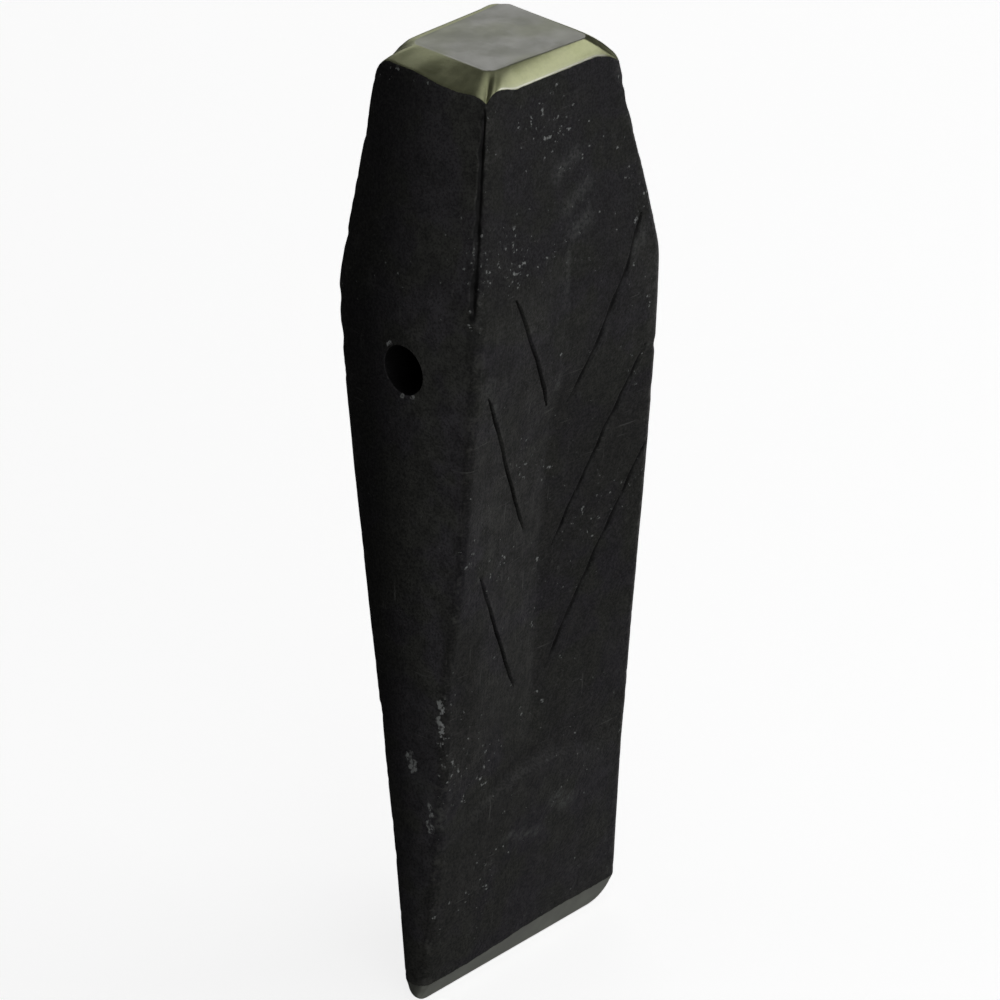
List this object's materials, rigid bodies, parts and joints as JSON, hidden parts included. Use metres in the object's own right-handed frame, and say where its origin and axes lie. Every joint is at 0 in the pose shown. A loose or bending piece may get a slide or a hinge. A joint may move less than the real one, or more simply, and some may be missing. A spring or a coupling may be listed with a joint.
{
  "type": "splitting wedge",
  "caption": "Solid forged steel wood-splitting wedge with a ground striking face, a ground cutting edge, herringbone grooves on both broad faces and a plain cross hole.",
  "frame": {"origin": "middle of the cutting edge, which is the lowest line of the wedge", "axes": "+Z from the cutting edge to the striking face, X along the cutting edge, Y through the thickness, with the broad faces along -Y and +Y"},
  "size_m": [0.071, 0.0444, 0.24],
  "materials": {
    "forged_steel": "black satin forging scale and paint, bare ground steel on the striking face, its bevels and the cutting edge"
  },
  "bodies": {
    "root": {"splitting_wedge": "forged_steel"}
  },
  "joints": []
}
